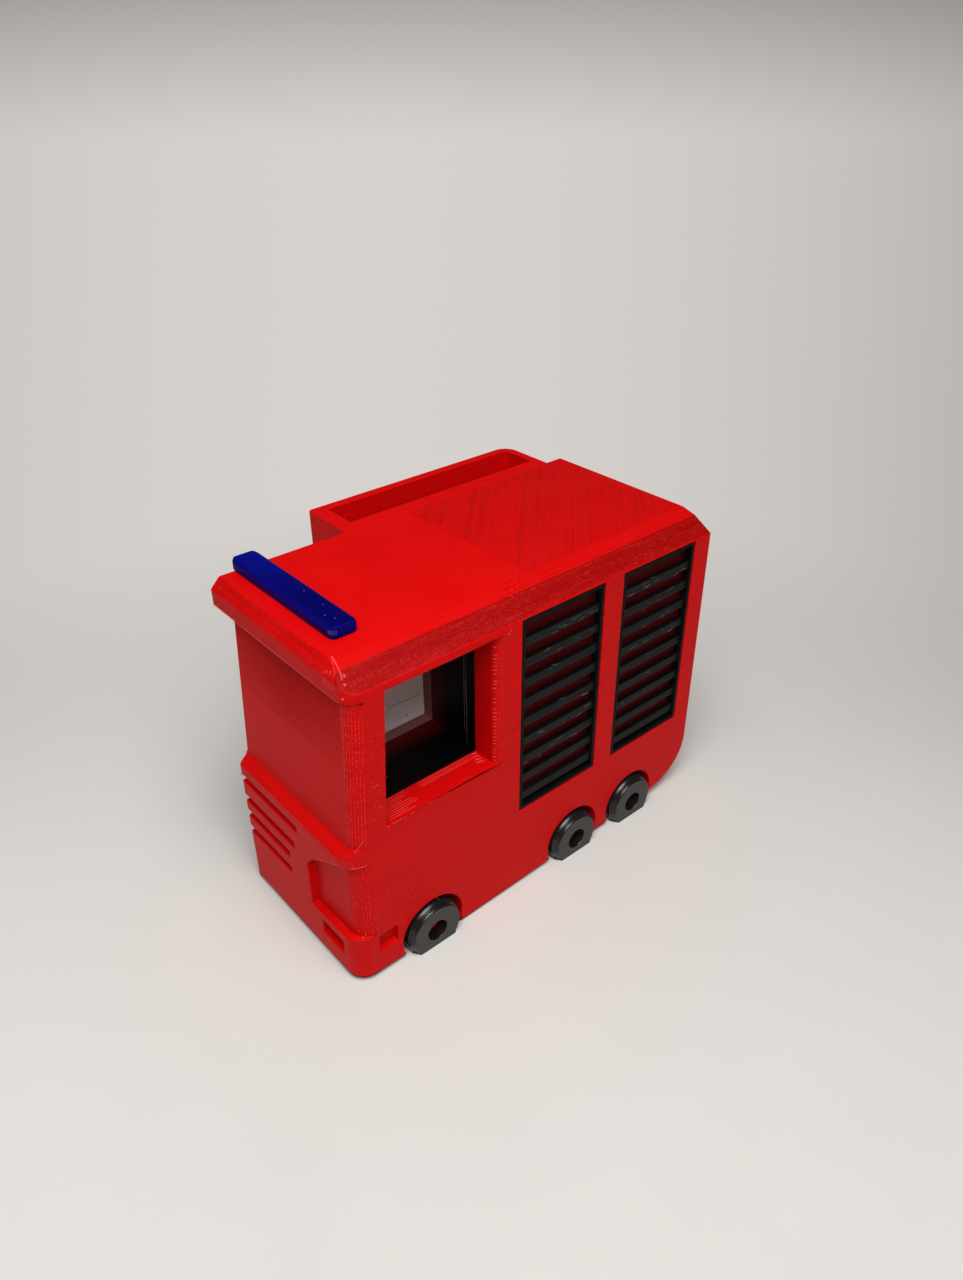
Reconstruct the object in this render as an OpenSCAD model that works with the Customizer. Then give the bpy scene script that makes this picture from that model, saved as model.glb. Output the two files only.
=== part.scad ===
// Toy fire truck: a printed body with louvres, window inserts, a side pocket and three turning axles.
// +X points to the front, +Y to the left side, +Z up. The wheels stand on z = 0.

/* [Body] */
// Length from front to rear
body_l = 81.7; // [80.5:0.1:88]
// Width of the roof
roof_w = 38.8; // [37:0.1:44]
// Height of the roof above the ground
roof_z = 60; // [59:0.2:66]
// Height of the underside above the ground
belly_z = 0.4; // [0.2:0.1:1]
// Width of the sloped left edge of the roof
edge_w = 6.8; // [5:0.2:8]
// Height of the sloped left edge of the roof
edge_h = 3; // [2:0.1:3.6]
// Length of the rounded lower corner at the rear
tail_l = 10.2; // [6:0.2:10.4]
// Height where that corner starts
tail_z = 11; // [8:0.5:15]

/* [Cab] */
// Height of the front edge of the hood
hood_z = 27.3; // [26:0.1:28]
// Size of the slope between the hood and the windshield
hood_step = 1.75; // [1.7:0.05:2]
// Corner radius of the hood
hood_r = 3.4; // [2.4:0.1:4]
// Backward lean of the windshield in degrees
lean = 3.4; // [3.2:0.1:5]
// Corner radius of the windshield
cab_r = 2.5; // [1.5:0.1:3]
// How far the right wall of the cab is set in from the roof
cab_set = 5.75; // [4:0.05:7]
// How far the face of the visor is behind the front
visor_set = 2.8; // [2.2:0.1:2.9]
// Height of the face of the visor
visor_h = 2.85; // [2:0.05:3.5]
// Drop of the slope above that face
visor_drop = 1.75; // [1:0.05:2]

/* [Window] */
// How far the window is behind the front
window_set = 7.6; // [7:0.1:9]
// Width of the window at its sill
window_w = 22.3; // [16:0.1:23]
// Height of the sill above the ground
sill_z = 31.1; // [30.8:0.1:36]
// Thickness of the roof above the window
window_top = 4.3; // [4:0.1:6]
// Depth of the red reveal
reveal_d = 5.4; // [3:0.1:8]
// Length of the left sleeve
liner_l = 11.7; // [8:0.1:13]
// Wall thickness of the sleeves
liner_t = 1.2; // [0.8:0.1:1.4]
// Thickness of the spacer ring
spacer_t = 2.3; // [1.5:0.1:3]
// Thickness of the window plate
plate_t = 1.4; // [1:0.1:2]

/* [Louvres] */
// How far the front panel is behind the front
panel_set = 35.4; // [34.8:0.1:36]
// Width of a panel
panel_w = 18.8; // [14:0.1:19.5]
// Space between the panels
panel_gap = 4.55; // [3:0.05:5]
// Height of the lower edge of the panels
panel_z = 17.7; // [13:0.1:24]
// Depth of the recess
panel_d = 1.6; // [1.4:0.1:4]
// Thickness of the panel's rim
rim_t = 0.7; // [0.5:0.1:1.2]
// Number of slats in a panel
slat_n = 9; // [5:1:11]
// Height of a slat
slat_h = 1.6; // [1:0.1:2]
// Thickness of a slat
slat_t = 1; // [0.6:0.1:1.4]
// Space under the lowest slat
slat_low = 1; // [0.3:0.1:1.5]
// Space over the top slat
slat_high = 3.1; // [1:0.1:4]

/* [Light bar] */
// Length of the bar
bar_l = 29.4; // [20:0.1:32]
// Width of the bar
bar_w = 4.8; // [4:0.1:8]
// Height of the bar
bar_h = 2.6; // [1.8:0.1:4]
// How far the bar is behind the front
bar_set = 6.75; // [6:0.05:9]

/* [Side pocket] */
// Length of the pocket
pocket_l = 49; // [44:0.1:52]
// Width of the pocket
pocket_w = 12.3; // [10:0.1:16]
// How far the pocket is behind the front
pocket_set = 28.9; // [28:0.1:30]
// Thickness of the wall against the body
pocket_back = 2.95; // [2:0.05:3.5]
// Thickness of the outer wall
pocket_wall = 1.9; // [1.2:0.05:2.5]
// Depth of the slot
slot_d = 30; // [10:0.5:31]
// Height of the lowest point of the pocket
pocket_z = 14; // [12.5:0.1:15]

/* [Wheels] */
// How far the front axle is behind the front
axle_set = 15.55; // [15:0.05:18]
// Distance from the front axle to the middle axle
wheelbase = 33.85; // [28:0.05:34.5]
// Distance from the middle axle to the rear axle
pair = 15.9; // [14.6:0.05:16.4]
// Height of the axles above the ground
axle_z = 3.3; // [3:0.05:4.5]
// Radius of an axle
axle_r = 2; // [1.6:0.05:2.2]
// Radius of a wheel
wheel_r = 5.5; // [5:0.05:5.8]
// Radius of the outer face of a wheel
face_r = 4.8; // [4:0.05:4.9]
// Width of a wheel
wheel_w = 5.5; // [4.5:0.1:6.5]
// How far a wheel stands out of the side
wheel_out = 1.2; // [0.6:0.1:1.5]
// How far an axle end is sunk in its wheel
hub_d = 2.1; // [1:0.1:2.4]
// Space between a wheel and its arch
arch_gap = 0.9; // [0.6:0.05:1]

/* [Fits] */
// Clearance around the inserts
insert_gap = 0.1; // [0.05:0.05:0.2]
// Clearance around the locating pegs
peg_gap = 0.05; // [0.02:0.01:0.1]
// Radial clearance of an axle in the body
run_gap = 0.05; // [0.03:0.01:0.08]
// How much smaller the wheel's hole is than the axle
press = 0.02; // [0.01:0.01:0.05]
// Clearance between a wheel and the wall behind it
side_gap = 0.3; // [0.2:0.05:0.5]

/* [Hidden] */
$fn = 72;
red = [0.72, 0.02, 0.02];
black = [0.05, 0.05, 0.05];
blue = [0.02, 0.03, 0.35];
grey = [0.72, 0.70, 0.68];

x_front = body_l / 2;
x_rear = -body_l / 2;
x_box = x_front - pocket_set;
total_w = roof_w + pocket_w + wheel_out;
y_left = total_w / 2 - wheel_out;
y_roof = y_left - roof_w;
y_cab = y_roof + cab_set;

x_foot = x_front - hood_step;
z_foot = hood_z + hood_step;
x_visor = x_front - visor_set;
z_visor = roof_z - visor_drop - visor_h;
visor_r = cab_r + 0.1;
right_r = 0.4;

x_sill = x_front - window_set;
x_jamb = x_sill - window_w;
z_head = roof_z - window_top;
y_tunnel = y_left - reveal_d;
y_spacer = y_tunnel - liner_l;
y_plate = y_spacer - spacer_t;
y_liner = y_plate - plate_t;
jamb_r = 1.5;

panel_x = [x_front - panel_set - panel_w, x_front - panel_set - 2 * panel_w - panel_gap];
panel_h = roof_z - edge_h - 0.3 - panel_z;

axle_x = [x_front - axle_set, x_front - axle_set - wheelbase, x_front - axle_set - wheelbase - pair];
y_right = [y_cab, y_roof, y_roof];
arch_r = wheel_r + arch_gap;
tail_x = axle_x[2] - 0.8 * wheel_r;
tail_end = min(tail_l, axle_x[2] - axle_r - 1 - x_rear);
arch_d = wheel_w - wheel_out + side_gap;

bar_x = x_front - bar_set - bar_w / 2;
bar_y = y_roof + bar_l / 2;
bar_peg_r = 1.4;
bar_peg_l = 1.8;

pocket_peg_r = 1.8;
pocket_peg_l = 4;
pocket_peg_x = [x_box - 8, x_box - pocket_l + 8];
pocket_peg_z = roof_z - 8;

module along_x(x0, x1) {
  translate([x0, 0, 0]) rotate([90, 0, 90]) linear_extrude(x1 - x0) children();
}

module along_y(y0, y1) {
  translate([0, y1, 0]) rotate([90, 0, 0]) linear_extrude(y1 - y0) children();
}

module along_z(z0, z1) {
  translate([0, 0, z0]) linear_extrude(z1 - z0) children();
}

// Rounds the upright edge at (x, y) of a block that lies behind x and on side s of y
module edge_cut(x, y, s, r) {
  difference() {
    translate([x - r, s > 0 ? y - 1 : y - r]) square([r + 1, r + 1]);
    translate([x - r, y + s * r]) circle(r + 0.02);
  }
}

// Section of the body across its length
module section() {
  polygon([
    [y_roof, belly_z],
    [y_left, belly_z],
    [y_left, roof_z - edge_h],
    [y_left - 0.58 * edge_w, roof_z - 0.25 * edge_h],
    [y_left - edge_w, roof_z],
    [y_roof, roof_z]
  ]);
}

// Window outline, grown by g on every side
module window_outline(g) {
  front = g / cos(lean);
  polygon([
    [x_jamb - g, sill_z - g],
    [x_sill + front + g * tan(lean), sill_z - g],
    [x_sill + front - (z_head - sill_z + g) * tan(lean), z_head + g],
    [x_jamb - g, z_head + g]
  ]);
}

module cab() {
  difference() {
    along_y(y_cab, y_left) polygon([
      [x_box - 4, belly_z],
      [x_front, belly_z],
      [x_front, hood_z],
      [x_foot, z_foot],
      [x_foot - (z_visor + 1 - z_foot) * tan(lean), z_visor + 1],
      [x_box - 4, z_visor + 1]
    ]);
    along_z(0, z_foot) cab_edges(x_front, hood_r);
    intersection() {
      translate([x_foot, 0, z_foot]) rotate([0, -lean, 0]) along_z(-4, 60) cab_edges(0, cab_r);
      translate([0, y_cab - 2, z_foot]) cube([body_l, roof_w, 60]);
    }
  }
}

module cab_edges(x, r) {
  edge_cut(x, y_cab, 1, right_r);
  edge_cut(x, y_left, -1, r);
}

module roof() {
  intersection() {
    along_y(y_roof, y_left) polygon([
      [x_box - 4, z_visor],
      [x_visor, z_visor],
      [x_visor, z_visor + visor_h],
      [x_visor - visor_drop, roof_z],
      [x_box - 4, roof_z]
    ]);
    along_x(x_box - 5, x_front) section();
    along_z(z_visor - 1, roof_z + 1) union() {
      translate([x_box - 5, y_roof - 1]) square([x_visor - visor_r - x_box + 5, roof_w + 2]);
      translate([x_visor - 4, y_roof - 1]) square([4, roof_w + 1 - visor_r]);
      translate([x_visor - visor_r, y_left - visor_r]) circle(visor_r);
    }
  }
}

module tail_cut() {
  along_y(y_roof - 1, y_left + 1) polygon(concat(
    [for (a = [0:7.5:90]) [
      x_rear + tail_end - tail_end * cos(a),
      tail_z - (tail_z - 2) * sin(a)
    ]],
    [[tail_x, 2], [tail_x, -1], [x_rear - 1, -1], [x_rear - 1, tail_z]]
  ));
}

module wheel_room(i) {
  translate([axle_x[i], y_left - arch_d, axle_z]) rotate([-90, 0, 0]) cylinder(arch_d + 1, r = arch_r);
  translate([axle_x[i], y_right[i] - 1, axle_z]) rotate([-90, 0, 0]) cylinder(arch_d + 1, r = arch_r);
  translate([axle_x[i], y_right[i], axle_z]) rotate([-90, 0, 0])
    cylinder(y_left - y_right[i], r = axle_r + run_gap);
}

module window_cut() {
  along_y(y_tunnel - 1, y_left + 1) window_outline(0);
  along_y(y_cab - 1, y_tunnel) window_outline(liner_t + insert_gap);
  along_z(sill_z, z_head) difference() {
    translate([x_jamb - jamb_r, y_left - jamb_r]) square([jamb_r + 1, jamb_r + 1]);
    translate([x_jamb - jamb_r, y_left - jamb_r]) circle(jamb_r);
  }
}

module headlight_cut() {
  difference() {
    along_x(x_front - hood_r - 2.1, x_front + 1) polygon([
      [y_left - 12.95, hood_z - 18],
      [y_left + 1, hood_z - 17.4],
      [y_left + 1, hood_z - 1.4],
      [y_left - 2.9, hood_z - 1.6],
      [y_left - 5.2, hood_z - 2.6],
      [y_left - 8.1, hood_z - 4.3],
      [y_left - 10.8, hood_z - 6],
      [y_left - 12.95, hood_z - 8.6]
    ]);
    difference() {
      translate([x_box, y_cab, 0]) cube([x_front - 1.4 - x_box, y_left + 0.02 - y_cab, hood_z]);
      along_z(-1, hood_z + 1) edge_cut(x_front - 1.4, y_left + 0.02, -1, hood_r);
    }
  }
}

module grille_cut() {
  drops = [2.9, 7.4, 10.95, 14.7];
  ends = [15.1, 16.7, 18.8, 18.9];
  for (i = [0:3])
    translate([x_front - 1.4, y_cab - 1, hood_z - drops[i] - 0.7])
      cube([2.4, y_left - ends[i] - y_cab + 1, 1.4]);
}

module body() {
  color(red) difference() {
    union() {
      along_x(x_rear, x_box) section();
      cab();
      roof();
    }
    tail_cut();
    for (i = [0:2]) wheel_room(i);
    for (x = panel_x) translate([x, y_left - panel_d, panel_z]) cube([panel_w, panel_d + 1, panel_h]);
    window_cut();
    headlight_cut();
    grille_cut();
    translate([x_front - 1.2, y_left - 10.2, hood_z - 22.6]) cube([2.2, 6.2, 3.1]);
    translate([x_front - 8.25, y_left - 1.2, hood_z - 22]) cube([3.7, 2.2, 3.8]);
    for (y = [-1, 1]) translate([bar_x, bar_y + y * bar_l / 3, roof_z - bar_peg_l - 0.2])
      cylinder(bar_peg_l + 1, r = bar_peg_r + peg_gap);
    for (x = pocket_peg_x) translate([x, y_roof - 1, pocket_peg_z]) rotate([-90, 0, 0])
      cylinder(pocket_peg_l + 1.2, r = pocket_peg_r + peg_gap);
  }
}

module side_pocket() {
  color(red) difference() {
    union() {
      intersection() {
        along_x(x_box - pocket_l, x_box) polygon([
          [y_roof, pocket_z],
          [y_roof, roof_z],
          [y_roof - pocket_w, roof_z],
          [y_roof - pocket_w, pocket_z + pocket_w]
        ]);
        along_z(0, roof_z + 1) union() {
          translate([x_box - pocket_l, y_roof - pocket_w + 3]) square([pocket_l, pocket_w - 3]);
          translate([x_box - pocket_l + 3, y_roof - pocket_w]) square([pocket_l - 3.8, pocket_w]);
          translate([x_box - 1, y_roof - pocket_w + 0.8]) square([1, pocket_w - 0.8]);
          translate([x_box - pocket_l + 3, y_roof - pocket_w + 3]) circle(3);
          translate([x_box - 0.8, y_roof - pocket_w + 0.8]) circle(0.8);
        }
      }
      for (x = pocket_peg_x) translate([x, y_roof - 1, pocket_peg_z]) rotate([-90, 0, 0])
        cylinder(pocket_peg_l + 1, r = pocket_peg_r);
    }
    translate([x_box - pocket_l + 1.75, y_roof - pocket_w + pocket_wall, roof_z - slot_d])
      cube([pocket_l - 4.9, pocket_w - pocket_wall - pocket_back, slot_d + 1]);
  }
}

module light_bar() {
  r = 0.8;
  color(blue) union() {
    intersection() {
      along_z(roof_z, roof_z + bar_h) union() {
        translate([bar_x - bar_w / 2, bar_y - bar_l / 2 + r]) square([bar_w, bar_l - 2 * r]);
        translate([bar_x - bar_w / 2 + r, bar_y - bar_l / 2]) square([bar_w - 2 * r, bar_l]);
        for (x = [-1, 1], y = [-1, 1])
          translate([bar_x + x * (bar_w / 2 - r), bar_y + y * (bar_l / 2 - r)]) circle(r);
      }
      along_y(bar_y - bar_l, bar_y + bar_l) polygon([
        [bar_x - bar_w / 2, roof_z],
        [bar_x - bar_w / 2, roof_z + bar_h - 0.5],
        [bar_x - bar_w / 2 + 0.5, roof_z + bar_h],
        [bar_x + bar_w / 2 - 0.5, roof_z + bar_h],
        [bar_x + bar_w / 2, roof_z + bar_h - 0.5],
        [bar_x + bar_w / 2, roof_z]
      ]);
    }
    for (y = [-1, 1]) translate([bar_x, bar_y + y * bar_l / 3, roof_z - bar_peg_l])
      cylinder(bar_peg_l + 0.5, r = bar_peg_r);
  }
}

module louvre(x) {
  g = insert_gap;
  inner_h = panel_h - 2 * g - 2 * rim_t;
  pitch = (inner_h - slat_h - slat_low - slat_high) / (slat_n - 1);
  color(black) translate([x + g, y_left - panel_d, panel_z + g]) union() {
    difference() {
      cube([panel_w - 2 * g, panel_d - 0.1, panel_h - 2 * g]);
      translate([rim_t, -1, rim_t]) cube([panel_w - 2 * g - 2 * rim_t, panel_d + 2, inner_h]);
    }
    for (i = [0:slat_n - 1]) translate([rim_t / 2, 0, rim_t + slat_low + i * pitch])
      cube([panel_w - 2 * g - rim_t, slat_t, slat_h]);
  }
}

module louvre_front() {
  louvre(panel_x[0]);
}

module louvre_rear() {
  louvre(panel_x[1]);
}

module sleeve(y0, y1) {
  difference() {
    along_y(y0, y1) window_outline(liner_t);
    along_y(y0 - 1, y1 + 1) window_outline(0);
  }
}

module window_liner_left() {
  color(black) sleeve(y_spacer, y_tunnel);
}

module window_spacer() {
  color(red) sleeve(y_plate, y_spacer);
}

module window_plate() {
  color(grey) along_y(y_liner, y_plate) window_outline(liner_t);
}

module window_liner_right() {
  color(black) sleeve(y_cab, y_liner);
}

module axle(i) {
  y0 = y_right[i] - wheel_out + hub_d;
  y1 = y_left + wheel_out - hub_d;
  color(red) translate([axle_x[i], y0, axle_z]) rotate([-90, 0, 0]) cylinder(y1 - y0, r = axle_r);
}

module axle_front() {
  axle(0);
}

module axle_middle() {
  axle(1);
}

module axle_rear() {
  axle(2);
}

// Wheel with its inner face at z = 0, turned so that its flat foot looks along -Y
module wheel() {
  intersection() {
    rotate_extrude() polygon([
      [axle_r - press, 0],
      [wheel_r, 0],
      [wheel_r, wheel_w - wheel_out],
      [face_r, wheel_w],
      [axle_r - press, wheel_w]
    ]);
    translate([-wheel_r - 1, -axle_z, -1]) cube([2 * wheel_r + 2, wheel_r + axle_z + 1, wheel_w + 2]);
  }
}

module wheel_left(i) {
  color(black) translate([axle_x[i], y_left + wheel_out - wheel_w, axle_z])
    rotate([-90, 0, 0]) rotate([0, 0, 180]) wheel();
}

module wheel_right(i) {
  color(black) translate([axle_x[i], y_right[i] - wheel_out + wheel_w, axle_z])
    rotate([90, 0, 0]) wheel();
}

module wheel_front_left() {
  wheel_left(0);
}

module wheel_middle_left() {
  wheel_left(1);
}

module wheel_rear_left() {
  wheel_left(2);
}

module wheel_front_right() {
  wheel_right(0);
}

module wheel_middle_right() {
  wheel_right(1);
}

module wheel_rear_right() {
  wheel_right(2);
}

body();
side_pocket();
light_bar();
louvre_front();
louvre_rear();
window_liner_left();
window_spacer();
window_plate();
window_liner_right();
axle_front();
axle_middle();
axle_rear();
wheel_front_left();
wheel_front_right();
wheel_middle_left();
wheel_middle_right();
wheel_rear_left();
wheel_rear_right();
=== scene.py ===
import math
import random
from functools import partial

import bmesh
import bpy
from mathutils import Matrix, Vector


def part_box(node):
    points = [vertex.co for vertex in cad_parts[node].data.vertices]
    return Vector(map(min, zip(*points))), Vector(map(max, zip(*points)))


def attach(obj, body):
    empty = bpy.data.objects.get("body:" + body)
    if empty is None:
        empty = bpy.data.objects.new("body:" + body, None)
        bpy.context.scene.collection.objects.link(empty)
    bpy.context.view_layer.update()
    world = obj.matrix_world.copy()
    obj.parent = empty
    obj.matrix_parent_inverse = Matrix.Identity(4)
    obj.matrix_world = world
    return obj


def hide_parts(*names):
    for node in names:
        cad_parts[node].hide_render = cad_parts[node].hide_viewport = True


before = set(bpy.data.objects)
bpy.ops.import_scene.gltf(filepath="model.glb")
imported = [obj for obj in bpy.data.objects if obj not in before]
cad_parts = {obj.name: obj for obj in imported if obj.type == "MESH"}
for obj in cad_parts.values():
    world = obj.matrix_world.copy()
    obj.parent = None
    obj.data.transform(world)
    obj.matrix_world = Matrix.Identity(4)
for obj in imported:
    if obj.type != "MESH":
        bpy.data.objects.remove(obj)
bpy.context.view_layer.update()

# Body: cab, hood, roof and locker walls in one red print, made standing on its underside.
# Its walls show the stacked layers, its edges are as soft as a 0.4 mm nozzle leaves them.
MM = 0.001


def add_node(tree, kind, settings=None, **inputs):
    """Adds a node. An input goes by its label, or its number as in _0, and may be a socket."""
    node = tree.nodes.new(kind)
    for key, value in (settings or {}).items():
        setattr(node, key, value)
    for key, value in inputs.items():
        number = key[1:]
        socket = node.inputs[int(number) if number.isdigit() else key.replace("_", " ")]
        if isinstance(value, bpy.types.NodeSocket):
            tree.links.new(value, socket)
        else:
            socket.default_value = value
    return node


def calc(tree, kind, a, b=0.0, c=0.0):
    """One sum of up to three numbers or sockets."""
    return add_node(tree, "ShaderNodeMath", {"operation": kind}, _0=a, _1=b, _2=c).outputs[0]


def spread(tree, value, low, high, to_low=0.0, to_high=1.0, kind="LINEAR"):
    """Maps a value from one range to another and holds it at the ends."""
    node = add_node(tree, "ShaderNodeMapRange", {"interpolation_type": kind}, Value=value,
                    From_Min=low, From_Max=high, To_Min=to_low, To_Max=to_high)
    return node.outputs[0]


def mix_colours(tree, share, one, two):
    """Colour between two others, each a socket or red, green, blue and alpha."""
    node = add_node(tree, "ShaderNodeMix", {"data_type": "RGBA"}, _0=share, _6=one, _7=two)
    return node.outputs[2]


def layer_marks():
    """Stacked layers of a print: height for the bump, tone for colour, gloss for roughness."""
    tree = bpy.data.node_groups.new("print_layers", "ShaderNodeTree")
    for label in ("Layer", "Unevenness", "Streak Length"):
        tree.interface.new_socket(name=label, in_out="INPUT", socket_type="NodeSocketFloat")
    for label in ("Height", "Tone", "Gloss"):
        tree.interface.new_socket(name=label, in_out="OUTPUT", socket_type="NodeSocketFloat")
    given = tree.nodes.new("NodeGroupInput").outputs
    out = tree.nodes.new("NodeGroupOutput").inputs
    m = partial(calc, tree)
    place = tree.nodes.new("ShaderNodeTexCoord").outputs["Object"]
    height = add_node(tree, "ShaderNodeSeparateXYZ", Vector=place).outputs["Z"]
    level = m("DIVIDE", height, given["Layer"])
    bead = m("POWER", m("PINGPONG", level, 0.5), 0.6)
    each = add_node(tree, "ShaderNodeTexWhiteNoise", {"noise_dimensions": "1D"},
                    W=m("FLOOR", level)).outputs["Value"]
    run = m("DIVIDE", 1.0, given["Streak Length"])
    climb = m("DIVIDE", 0.8, given["Layer"])
    stretch = add_node(tree, "ShaderNodeCombineXYZ", X=run, Y=run, Z=climb).outputs[0]
    spot = add_node(tree, "ShaderNodeVectorMath", {"operation": "MULTIPLY"},
                    _0=place, _1=stretch).outputs[0]
    streak = add_node(tree, "ShaderNodeTexNoise", Vector=spot, Scale=1.0, Detail=4.0,
                      Roughness=0.65).outputs[0]
    fine = add_node(tree, "ShaderNodeTexNoise", Vector=place, Scale=2600.0, Detail=2.0).outputs[0]
    uneven = m("MULTIPLY", m("ADD", each, streak), given["Unevenness"])
    tone = m("ADD", m("MULTIPLY", each, 0.35), m("MULTIPLY", streak, 0.65))
    gloss = m("ADD", m("MULTIPLY", fine, 0.6), m("MULTIPLY", streak, 0.4))
    for label, value in (("Height", m("ADD", bead, uneven)), ("Tone", tone), ("Gloss", gloss)):
        tree.links.new(value, out[label])
    return tree


PRINT_LAYERS = layer_marks()
LAYER, UNEVENNESS, STREAK = 0.3 * MM, 0.5, 9 * MM
# Painted shade: the share of the dark tone that a fully shaded face keeps, in red, green and blue.
SHADE_SHARE = (0.1, 0.5, 0.5)
# Painted glints: how much of their pale colour shows at most, and how it is made from the light
# tone.
GLINT_MOST, GLINT_GAIN, GLINT_LIFT = 0.35, 1.15, 0.11


def print_finish(name, dark, light, rough, specular, ior, depth):
    """Material of one filament: two tones of it, streaked along the layers.

    Where its face attribute of painted shade is above 0, it goes over to painted shade, the dark
    of a hollow between two steps, and pale painted glints show where that shade is partial.
    """
    mat = bpy.data.materials.new(name)
    mat.use_nodes = True
    tree = mat.node_tree
    skin = tree.nodes["Principled BSDF"].inputs
    skin["Specular IOR Level"].default_value = specular
    skin["IOR"].default_value = ior
    marks = add_node(tree, "ShaderNodeGroup", {"node_tree": PRINT_LAYERS}, Layer=LAYER,
                     Unevenness=UNEVENNESS, Streak_Length=STREAK).outputs
    tone = spread(tree, marks["Tone"], 0.2, 0.8)
    plain = mix_colours(tree, tone, (*dark, 1), (*light, 1))
    painted_shade_share = add_node(tree, "ShaderNodeAttribute", {"attribute_name": "painted_shade"}).outputs["Fac"]
    shade_colour = [c * share for c, share in zip(dark, SHADE_SHARE)]
    shade = mix_colours(tree, painted_shade_share, plain, (*shade_colour, 1))
    glint = spread(tree, marks["Gloss"], 0.5, 0.64, 0.0, GLINT_MOST)
    partial_shade = calc(tree, "MULTIPLY", painted_shade_share, calc(tree, "SUBTRACT", 1.0, painted_shade_share))
    pale = [min(1.0, c * GLINT_GAIN + GLINT_LIFT) for c in light]
    with_glints = mix_colours(tree, calc(tree, "MULTIPLY", glint, partial_shade), shade, (*pale, 1))
    tree.links.new(with_glints, skin["Base Color"])
    tree.links.new(spread(tree, marks["Gloss"], 0.3, 0.7, *rough), skin["Roughness"])
    bump = add_node(tree, "ShaderNodeBump", Height=marks["Height"], Distance=depth, Strength=1.0)
    tree.links.new(bump.outputs[0], skin["Normal"])
    return mat


SAME_POINT, SAME_LEVEL, SAME_CUT = 2e-6, 1e-5, 1e-7
RIM_DEPTH = 1.5 * MM
SHARP_ANGLE, SMOOTH_ANGLE = math.radians(24), math.radians(38)


def lower_rim(form, base):
    """Edges round the outside of the underside, without those inside the wheel arches."""
    low = [v for v in form.verts if v.co.z < base + SAME_LEVEL]
    left, right = min(v.co.x for v in low), max(v.co.x for v in low)
    near, far = min(v.co.y for v in low), max(v.co.y for v in low)
    outer = {v for v in low if min(v.co.x - left, right - v.co.x,
                                   v.co.y - near, far - v.co.y) < RIM_DEPTH}
    return [e for e in form.edges if all(v in outer for v in e.verts)
            and any(abs(f.normal.z) < 0.2 for f in e.link_faces)]


def soft_copy(node, width, segments=2, foot=0.0):
    """The CAD solid's mesh with edges rounded as a print leaves them, its lower rim by more."""
    form = bmesh.new()
    form.from_mesh(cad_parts[node].data)
    bmesh.ops.remove_doubles(form, verts=form.verts, dist=SAME_POINT)
    base = min(v.co.z for v in form.verts)
    if foot:
        bmesh.ops.bevel(form, geom=lower_rim(form, base), offset=foot, offset_type="OFFSET",
                        segments=3, profile=0.5, affect="EDGES")
    sharp = [e for e in form.edges
             if len(e.link_faces) == 2 and e.calc_face_angle() > SHARP_ANGLE]
    bmesh.ops.bevel(form, geom=sharp, offset=width, offset_type="OFFSET", segments=segments,
                    profile=0.5, affect="EDGES", clamp_overlap=False)
    bmesh.ops.remove_doubles(form, verts=form.verts, dist=SAME_CUT)
    for v in form.verts:
        v.co.z = max(v.co.z, base)
    return form


def finish_piece(name, form, mats, body, nodes):
    """Makes the mesh an object with level shading on its flats, and hangs it on its body."""
    mesh = bpy.data.meshes.new(name)
    form.to_mesh(mesh)
    form.free()
    for mat in mats:
        mesh.materials.append(mat)
    mesh.polygons.foreach_set("use_smooth", [True] * len(mesh.polygons))
    mesh.set_sharp_from_angle(angle=SMOOTH_ANGLE)
    piece = bpy.data.objects.new(name, mesh)
    bpy.context.collection.objects.link(piece)
    level = piece.modifiers.new("level", "WEIGHTED_NORMAL")
    level.keep_sharp = True
    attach(piece, body)
    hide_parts(*nodes)


def new_growth(name, sizes):
    """Empty geometry tree with one named input for each size, and short ways to add nodes."""
    tree = bpy.data.node_groups.new(name, "GeometryNodeTree")
    tree.interface.new_socket(name="Geometry", in_out="OUTPUT",
                              socket_type="NodeSocketGeometry")
    for label in sizes:
        tree.interface.new_socket(name=label, in_out="INPUT", socket_type="NodeSocketFloat")
    given = tree.nodes.new("NodeGroupInput").outputs

    def vector(x, y, z):
        return add_node(tree, "ShaderNodeCombineXYZ", X=x, Y=y, Z=z).outputs[0]

    def close(points, shape, scale, turn, mat):
        spin = add_node(tree, "FunctionNodeEulerToRotation", _0=turn).outputs[0]
        many = add_node(tree, "GeometryNodeInstanceOnPoints", Points=points, Instance=shape,
                        Rotation=spin, Scale=scale)
        real = add_node(tree, "GeometryNodeRealizeInstances", Geometry=many.outputs[0])
        dyed = add_node(tree, "GeometryNodeSetMaterial", Geometry=real.outputs[0], Material=mat)
        tree.links.new(dyed.outputs[0], tree.nodes.new("NodeGroupOutput").inputs[0])

    return tree, given, partial(calc, tree), vector, close


def grow(tree, sizes, form, index, painted_shade_share=0.0):
    """Runs the tree once with the given sizes, adds its mesh to a form and returns the faces."""
    seed = bpy.data.objects.new("seed", bpy.data.meshes.new("seed"))
    bpy.context.collection.objects.link(seed)
    rule = seed.modifiers.new("rule", "NODES")
    rule.node_group = tree
    for socket in tree.interface.items_tree:
        if socket.in_out == "INPUT":
            rule[socket.identifier] = float(sizes[socket.name])
    view = bpy.context.evaluated_depsgraph_get()
    mesh = bpy.data.meshes.new_from_object(seed.evaluated_get(view), depsgraph=view)
    seed.modifiers.clear()
    bpy.data.objects.remove(seed)
    before = set(form.faces)
    form.from_mesh(mesh)
    painted_shade = form.faces.layers.float.get("painted_shade")
    fresh = set(form.faces) - before
    for face in fresh:
        face.material_index = index
        # New faces also take the given share of painted shade.
        if painted_shade:
            face[painted_shade] = painted_shade_share
    bpy.data.meshes.remove(mesh)
    return fresh


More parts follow.
